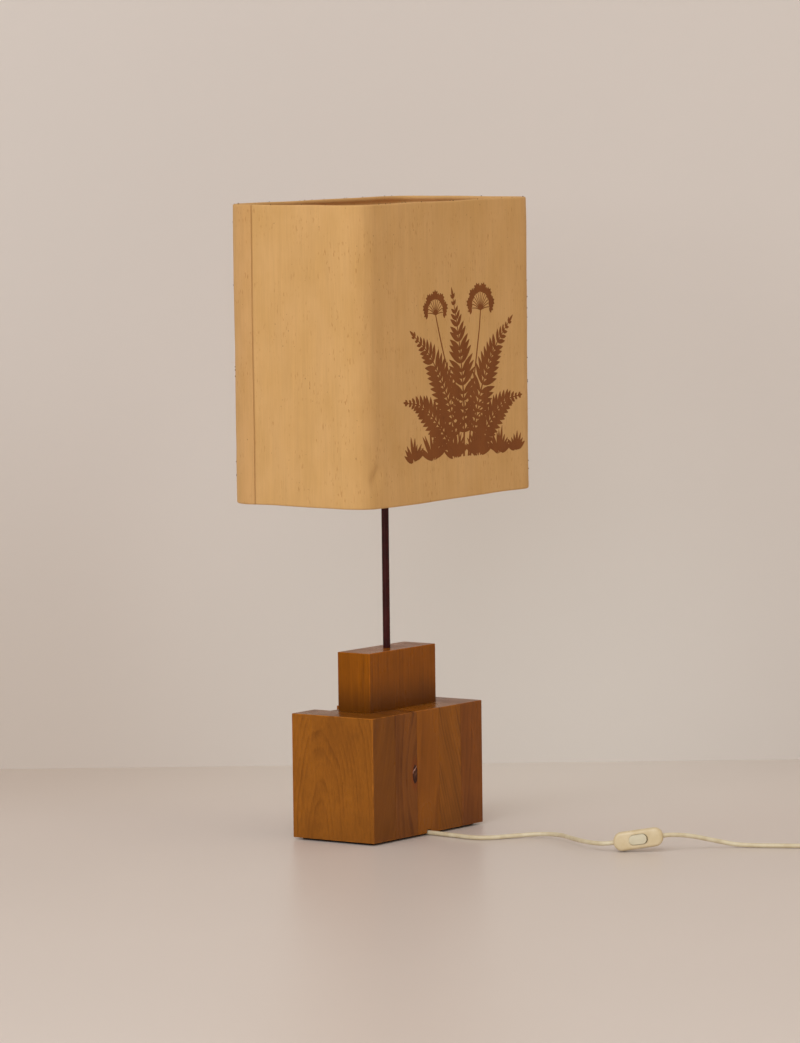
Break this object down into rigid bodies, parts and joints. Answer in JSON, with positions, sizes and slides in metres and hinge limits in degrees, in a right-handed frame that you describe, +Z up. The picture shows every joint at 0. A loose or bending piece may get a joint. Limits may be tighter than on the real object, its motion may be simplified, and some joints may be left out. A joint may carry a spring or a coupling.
{
  "type": "table lamp",
  "caption": "Table lamp with a stacked wooden block base, a thin stem, a rounded rectangular fabric shade and a cord with an in-line rocker switch.",
  "frame": {"origin": "on the surface that the lamp stands on, under the stem and the middle of the lower block", "axes": "+X along the long side of the base and the shade, +Z up, and the cord leaves the middle of the long face on the -Y side"},
  "size_m": [0.551, 0.7426, 0.857],
  "materials": {
    "oiled_wood": "satin oil over reddish brown softwood",
    "upper_block_wood": "satin oil, darker",
    "hardboard": "raw hardboard",
    "dark_felt": "felt",
    "maroon_lacquer": "dark maroon gloss lacquer",
    "zinc_plated_steel": "zinc plated",
    "brass": "plain",
    "brown_bakelite": "semi-gloss moulded",
    "white_ceramic": "glazed ceramic",
    "opal_glass": "opal",
    "white_painted_wire": "off-white paint",
    "beige_fabric": "coarse woven, printed on one face",
    "cream_cord": "soft satin cable jacket",
    "cream_plastic": "semi-gloss moulded",
    "rocker_plastic": "satin moulded"
  },
  "bodies": {
    "lamp": {"base_board_1": "oiled_wood", "base_board_2": "oiled_wood", "base_board_3": "oiled_wood", "base_board_4": "oiled_wood", "base_board_5": "oiled_wood", "upper_block": "upper_block_wood", "block_dowel_1": "oiled_wood", "block_dowel_2": "oiled_wood", "base_plate": "hardboard", "base_plate_screw_1": "zinc_plated_steel", "base_plate_screw_2": "zinc_plated_steel", "base_plate_screw_3": "zinc_plated_steel", "base_plate_screw_4": "zinc_plated_steel", "cord_saddle": "zinc_plated_steel", "cord_saddle_screw_1": "zinc_plated_steel", "cord_saddle_screw_2": "zinc_plated_steel", "base_felt": "dark_felt", "stem_tube": "maroon_lacquer", "stem_washer": "zinc_plated_steel", "stem_nut": "zinc_plated_steel", "holder_lock_nut": "zinc_plated_steel", "holder_cap": "brown_bakelite", "holder_sleeve": "brown_bakelite", "holder_insert": "white_ceramic", "holder_thread_shell": "brass", "holder_centre_contact": "brass", "holder_terminal_screw_1": "brass", "holder_terminal_screw_2": "brass", "holder_wire_1": "cream_cord", "holder_wire_2": "cream_cord", "cord_inside": "cream_cord", "cord_lead": "cream_cord", "cord_tail": "cream_cord", "cord_coil": "cream_cord", "cord_end": "cream_cord", "switch_lower_shell": "cream_plastic", "switch_upper_shell": "cream_plastic", "switch_pivot": "zinc_plated_steel", "switch_contact_1": "brass", "switch_contact_2": "brass", "switch_screw_1": "zinc_plated_steel", "switch_screw_2": "zinc_plated_steel", "plug_body": "cream_plastic", "plug_pin_1": "brass", "plug_pin_2": "brass"},
    "shade": {"shade_cover": "beige_fabric", "shade_top_wire": "white_painted_wire", "shade_bottom_wire": "white_painted_wire", "shade_fitter_ring": "white_painted_wire", "shade_arm_1": "white_painted_wire", "shade_arm_2": "white_painted_wire", "shade_arm_3": "white_painted_wire", "shade_arm_4": "white_painted_wire"},
    "clamp_ring": {"shade_clamp_ring": "brown_bakelite"},
    "bulb": {"bulb_glass": "opal_glass", "bulb_cap": "zinc_plated_steel", "bulb_contact": "brass"},
    "rocker": {"switch_rocker": "rocker_plastic", "switch_bridge": "brass"}
  },
  "joints": [
    {"name": "rocker_tilt", "type": "hinge", "parent": "lamp", "child": "rocker", "pos_m": [0.00952, -0.39906, 0.01678], "axis": [-0.0144, 0.1547, 0.9879], "range_deg": [0, 16]},
    {"name": "shade_turn", "type": "hinge", "parent": "lamp", "child": "shade", "pos_m": [0, 0, 0.5168], "axis": [0, 0, 1], "continuous": true},
    {"name": "clamp_ring_turn", "type": "hinge", "parent": "lamp", "child": "clamp_ring", "pos_m": [0, 0, 0.5193], "axis": [0, 0, 1], "continuous": true},
    {"name": "bulb_turn", "type": "hinge", "parent": "lamp", "child": "bulb", "pos_m": [0, 0, 0.544], "axis": [0, 0, 1], "continuous": true}
  ]
}
